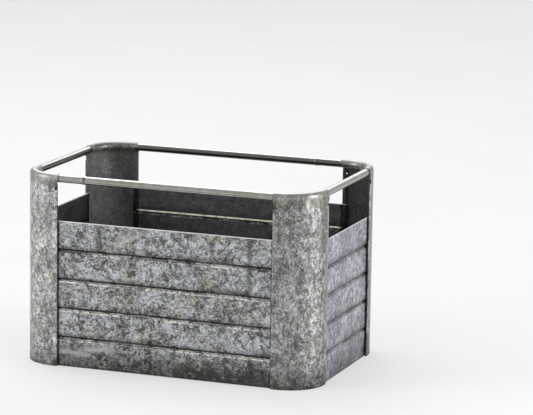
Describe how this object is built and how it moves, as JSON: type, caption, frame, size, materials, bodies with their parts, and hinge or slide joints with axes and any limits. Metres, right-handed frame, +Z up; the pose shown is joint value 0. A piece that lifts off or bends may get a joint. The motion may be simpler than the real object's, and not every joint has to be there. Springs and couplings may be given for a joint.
{
  "type": "bottle crate",
  "caption": "Open-topped sheet-metal bottle crate with rounded corner posts, grooved wall panels hooked between them and a round rim bar with hand gaps under it.",
  "frame": {"origin": "middle of the footprint, on the ground plane that the corner posts stand on", "axes": "+X along the long side, +Y towards the back, +Z up"},
  "size_m": [0.38, 0.252, 0.236],
  "materials": {
    "post_zinc": "hot-dip galvanised, weathered, large spangle",
    "panel_zinc": "hot-dip galvanised, weathered and stained",
    "floor_zinc": "hot-dip galvanised, dull and scuffed",
    "rim_zinc": "galvanised round bar, worn smooth",
    "weld_metal": "rough weld bead under old zinc, slightly rusty"
  },
  "bodies": {
    "root": {"corner_post_front_left": "post_zinc", "corner_post_front_right": "post_zinc", "corner_post_back_left": "post_zinc", "corner_post_back_right": "post_zinc", "panel_front": "panel_zinc", "panel_back": "panel_zinc", "panel_left": "panel_zinc", "panel_right": "panel_zinc", "floor_pan": "floor_zinc", "rim_rod_left": "rim_zinc", "rim_rod_right": "rim_zinc", "rim_butt_weld_front": "weld_metal", "rim_butt_weld_back": "weld_metal", "rim_tacks_front_left": "weld_metal", "rim_tacks_front_right": "weld_metal", "rim_tacks_back_left": "weld_metal", "rim_tacks_back_right": "weld_metal", "floor_tacks": "weld_metal"}
  },
  "joints": []
}
